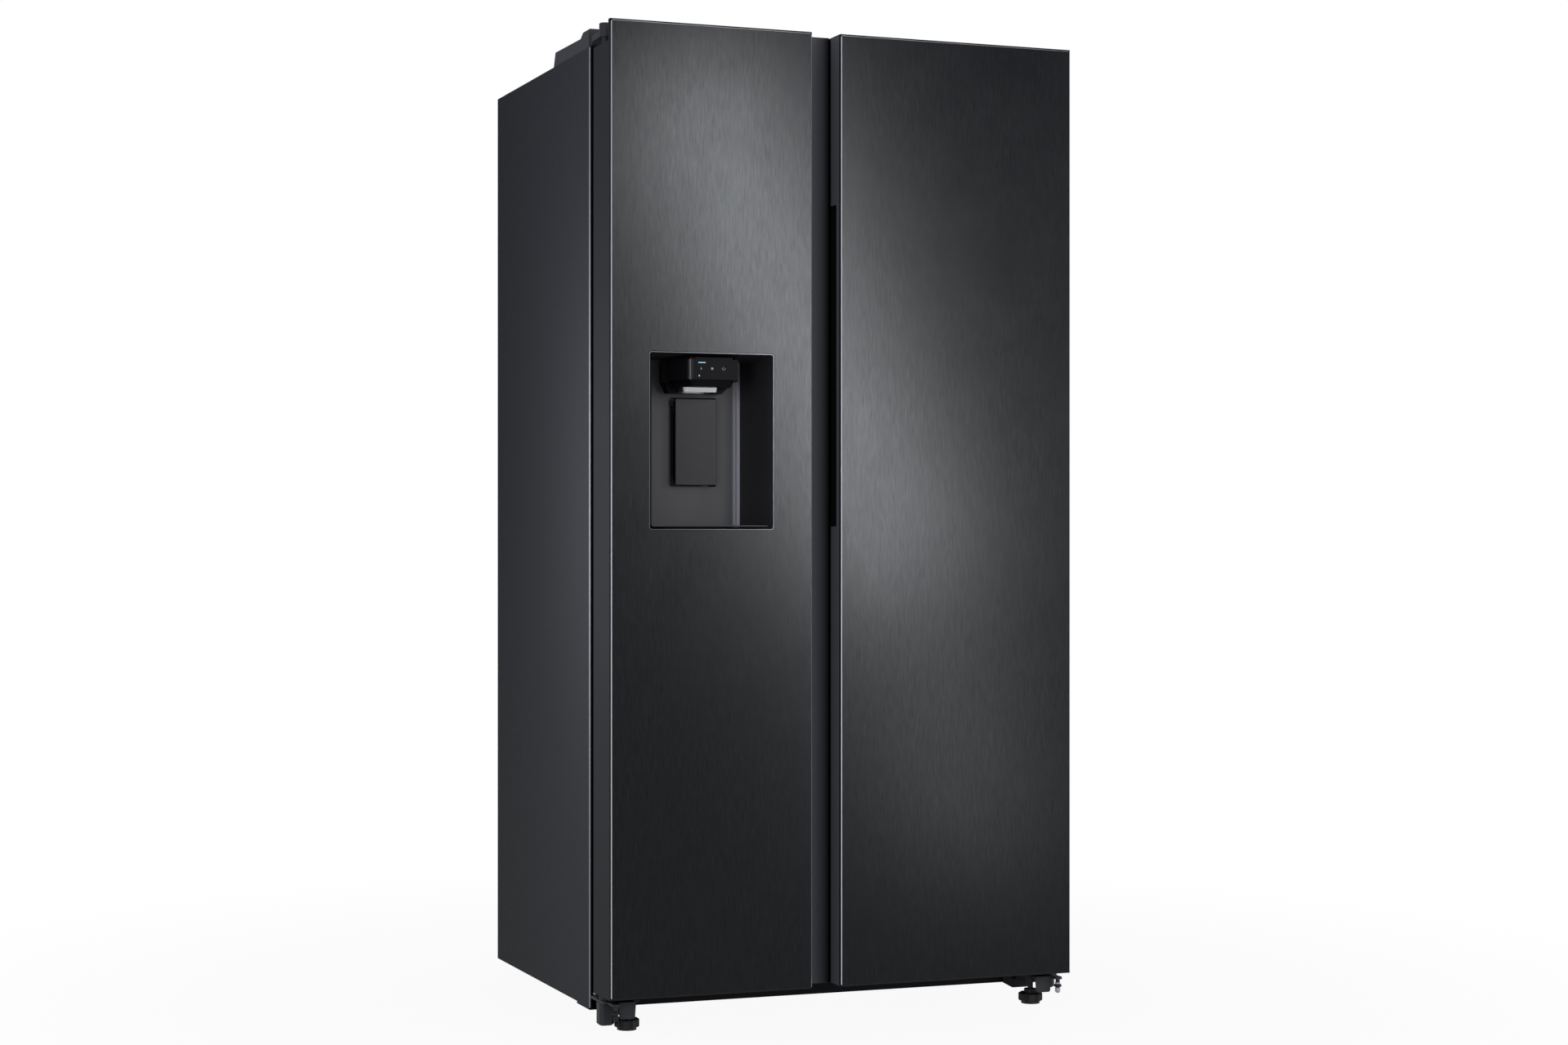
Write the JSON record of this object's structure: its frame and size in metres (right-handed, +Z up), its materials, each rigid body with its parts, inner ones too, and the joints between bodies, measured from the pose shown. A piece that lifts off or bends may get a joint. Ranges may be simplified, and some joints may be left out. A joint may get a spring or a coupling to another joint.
{
  "type": "side-by-side refrigerator",
  "caption": "Tall side-by-side refrigerator-freezer with full-height brushed doors, an ice and water dispenser recess, recessed grips, shelves, drawers, door bins, feet and rollers.",
  "frame": {"origin": "centre of the bounding box footprint, on the floor", "axes": "+X to the user's right when facing the doors, +Y from the doors to the back, +Z up"},
  "size_m": [0.912, 0.716, 1.803],
  "materials": {
    "painted_case": "satin",
    "brushed_front": "satin",
    "door_side_paint": "satin",
    "black_plastic": "satin",
    "hinge_cover_plastic": "matte",
    "foam": "matte",
    "white_liner": "gloss",
    "duct_white": "satin",
    "gasket_rubber": "matte",
    "clear_plastic": "gloss",
    "shelf_glass": "gloss",
    "trim_plastic": "satin",
    "lamp_lens": "satin",
    "black_steel": "satin",
    "galvanised": "satin",
    "coil_aluminium": "satin",
    "fan_plastic": "matte",
    "foot_plastic": "matte",
    "dispenser_grey": "satin",
    "bezel_metal": "polished",
    "dispenser_black": "gloss",
    "spout_silver": "satin",
    "paddle_dark": "satin",
    "auger_grey": "satin"
  },
  "bodies": {
    "cabinet": {"side_panel_left": "painted_case", "side_panel_right": "painted_case", "top_panel": "painted_case", "mullion_plate": "painted_case", "upper_hinge_left": "door_side_paint", "upper_hinge_right": "door_side_paint", "lower_hinge_left": "door_side_paint", "lower_hinge_right": "door_side_paint", "hinge_cover_left": "hinge_cover_plastic", "hinge_cover_right": "hinge_cover_plastic", "cabinet_insulation": "foam", "freezer_liner": "white_liner", "fridge_liner": "white_liner", "freezer_duct_panel": "duct_white", "fridge_duct_panel": "duct_white", "shelf_panes": "shelf_glass", "shelf_trims": "trim_plastic", "interior_lamps": "lamp_lens", "base_pan": "black_steel", "compressor": "black_steel", "back_panel": "galvanised", "machine_room_cover": "galvanised", "condenser": "coil_aluminium", "evaporator": "coil_aluminium", "drain_pan": "fan_plastic"},
    "freezer_door": {"freezer_door_panel": "brushed_front", "freezer_door_shell": "door_side_paint", "freezer_door_core": "foam", "freezer_door_caps": "black_plastic", "freezer_door_liner": "white_liner", "freezer_door_gasket": "gasket_rubber", "freezer_handle_cup": "black_plastic", "freezer_door_bins": "clear_plastic", "dispenser_housing": "dispenser_grey", "dispenser_bezel": "bezel_metal", "dispenser_head": "dispenser_black", "dispenser_spout": "spout_silver", "drip_tray": "dispenser_grey", "ice_bucket": "clear_plastic", "ice_maker": "trim_plastic"},
    "fridge_door": {"fridge_door_panel": "brushed_front", "fridge_door_shell": "door_side_paint", "fridge_door_core": "foam", "fridge_door_caps": "black_plastic", "fridge_door_liner": "white_liner", "fridge_door_gasket": "gasket_rubber", "fridge_handle_cup": "black_plastic", "fridge_door_bins": "clear_plastic"},
    "condenser_fan_body": {"condenser_fan": "fan_plastic"},
    "evaporator_fan_body": {"evaporator_fan": "fan_plastic"},
    "foot_left_body": {"foot_left": "foot_plastic"},
    "foot_right_body": {"foot_right": "foot_plastic"},
    "roller_left_body": {"roller_left": "foot_plastic"},
    "roller_right_body": {"roller_right": "foot_plastic"},
    "freezer_drawer_upper_body": {"freezer_drawer_upper": "clear_plastic"},
    "freezer_drawer_lower_body": {"freezer_drawer_lower": "clear_plastic"},
    "crisper_upper_body": {"crisper_upper": "clear_plastic"},
    "crisper_lower_body": {"crisper_lower": "clear_plastic"},
    "dispenser_paddle_body": {"dispenser_paddle": "paddle_dark"},
    "ice_auger_body": {"ice_auger": "auger_grey"}
  },
  "joints": [
    {"name": "freezer_door_hinge", "type": "hinge", "parent": "cabinet", "child": "freezer_door", "pos_m": [-0.442, -0.286, 0.9], "axis": [0, 0, -1], "range_deg": [0, 130]},
    {"name": "fridge_door_hinge", "type": "hinge", "parent": "cabinet", "child": "fridge_door", "pos_m": [0.442, -0.286, 0.9], "axis": [0, 0, 1], "range_deg": [0, 130]},
    {"name": "paddle_press", "type": "hinge", "parent": "freezer_door", "child": "dispenser_paddle_body", "pos_m": [-0.2632, -0.257, 1.126], "axis": [1, 0, 0], "range_deg": [0, 6], "stiffness_Nm_per_rad": 1.2},
    {"name": "ice_auger_spin", "type": "hinge", "parent": "freezer_door", "child": "ice_auger_body", "pos_m": [-0.227, -0.207, 1.312], "axis": [1, 0, 0], "continuous": true},
    {"name": "condenser_fan_spin", "type": "hinge", "parent": "cabinet", "child": "condenser_fan_body", "pos_m": [0.026, 0.25, 0.122], "axis": [1, 0, 0], "continuous": true},
    {"name": "evaporator_fan_spin", "type": "hinge", "parent": "cabinet", "child": "evaporator_fan_body", "pos_m": [-0.226, 0.27, 0.73], "axis": [0, 1, 0], "continuous": true},
    {"name": "foot_left_turn", "type": "hinge", "parent": "cabinet", "child": "foot_left_body", "pos_m": [-0.4045, -0.295, 0.02], "axis": [0, 0, 1], "continuous": true},
    {"name": "foot_right_turn", "type": "hinge", "parent": "cabinet", "child": "foot_right_body", "pos_m": [0.4045, -0.295, 0.02], "axis": [0, 0, 1], "continuous": true},
    {"name": "roller_left_spin", "type": "hinge", "parent": "cabinet", "child": "roller_left_body", "pos_m": [-0.386, 0.3, 0.015], "axis": [1, 0, 0], "continuous": true},
    {"name": "roller_right_spin", "type": "hinge", "parent": "cabinet", "child": "roller_right_body", "pos_m": [0.386, 0.3, 0.015], "axis": [1, 0, 0], "continuous": true},
    {"name": "freezer_drawer_upper_slide", "type": "slide", "parent": "cabinet", "child": "freezer_drawer_upper_body", "axis": [0, -1, 0], "range_m": [0, 0.02]},
    {"name": "freezer_drawer_lower_slide", "type": "slide", "parent": "cabinet", "child": "freezer_drawer_lower_body", "axis": [0, -1, 0], "range_m": [0, 0.02]},
    {"name": "crisper_upper_slide", "type": "slide", "parent": "cabinet", "child": "crisper_upper_body", "axis": [0, -1, 0], "range_m": [0, 0.02]},
    {"name": "crisper_lower_slide", "type": "slide", "parent": "cabinet", "child": "crisper_lower_body", "axis": [0, -1, 0], "range_m": [0, 0.02]}
  ]
}
